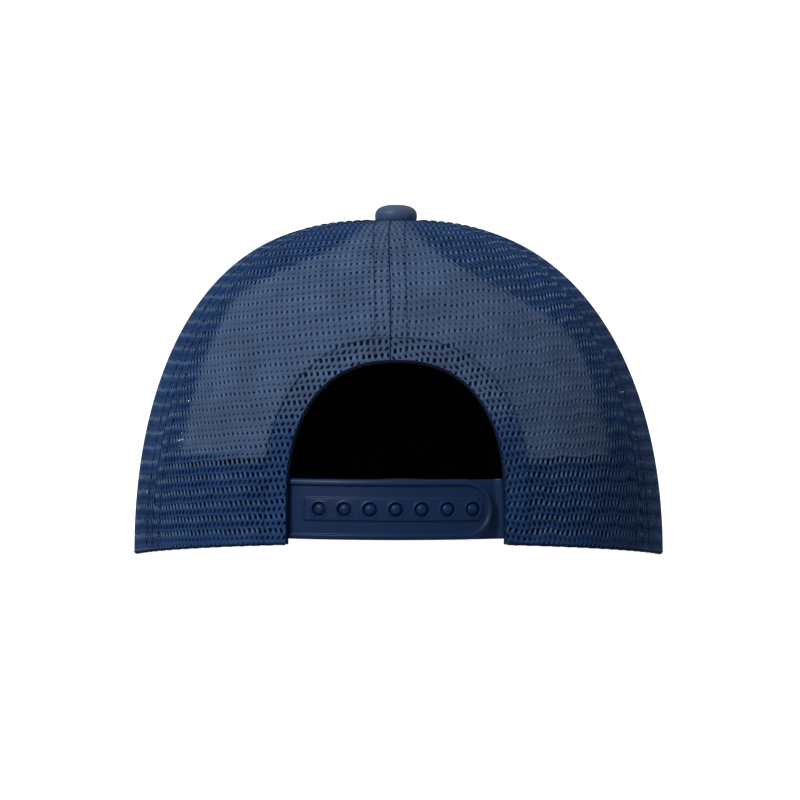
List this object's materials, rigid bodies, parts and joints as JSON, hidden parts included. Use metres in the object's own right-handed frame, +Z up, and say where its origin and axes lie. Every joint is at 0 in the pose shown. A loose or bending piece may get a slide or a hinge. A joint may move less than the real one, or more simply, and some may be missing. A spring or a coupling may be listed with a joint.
{
  "type": "trucker cap",
  "caption": "Trucker cap with a foam-backed front, net sides and back, a curved peak, a covered button and a snap strap across an arched back opening.",
  "frame": {"origin": "On the table, in the middle of the cap's length and width.", "axes": "+Y towards the tip of the peak, +X to the right when the back of the cap is looked at, +Z up."},
  "size_m": [0.184, 0.2592, 0.1208],
  "materials": {
    "net": "navy polyester net",
    "front_cloth": "navy polyester cloth on foam",
    "peak_cloth": "navy cloth over a stiff board",
    "tape": "navy woven tape",
    "band": "dark navy cotton",
    "strap_plastic": "satin navy plastic",
    "washer_metal": "plain"
  },
  "bodies": {
    "root": {"front_panel": "front_cloth", "side_panel_left": "net", "side_panel_right": "net", "back_panel_left": "net", "back_panel_right": "net", "arch_hem": "net", "back_tape": "tape", "side_tape_left": "tape", "side_tape_right": "tape", "front_tape_left": "tape", "front_tape_right": "tape", "sweatband": "band", "strap_outer": "strap_plastic", "strap_inner": "strap_plastic", "top_button": "front_cloth", "button_washer": "washer_metal", "peak": "peak_cloth"}
  },
  "joints": []
}
